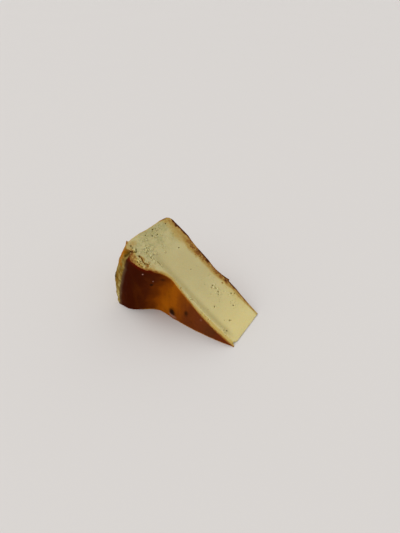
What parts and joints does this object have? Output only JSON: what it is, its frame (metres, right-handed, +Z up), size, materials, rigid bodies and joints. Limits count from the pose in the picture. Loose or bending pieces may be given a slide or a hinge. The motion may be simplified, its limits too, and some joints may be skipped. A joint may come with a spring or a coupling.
{
  "type": "burnt cheesecake slice",
  "caption": "Wedge of crustless baked cheesecake with a raised rim and a dark burnt top, lying on one of its two cut faces, ready to be served on a plate or set on a table.",
  "frame": {"origin": "middle of the slice's footprint, on the surface that it lies on", "axes": "+Z up; +X from the rim to the tip, along the cut face that the slice lies on; the cake's burnt top faces -Y and its underside faces +Y"},
  "size_m": [0.1112, 0.0576, 0.0662],
  "materials": {
    "cheesecake": "soft baked custard on the cut faces, glossy burnt brown skin on the cake's top, browned on its side and underside"
  },
  "bodies": {
    "root": {"cheesecake_slice": "cheesecake"}
  },
  "joints": []
}
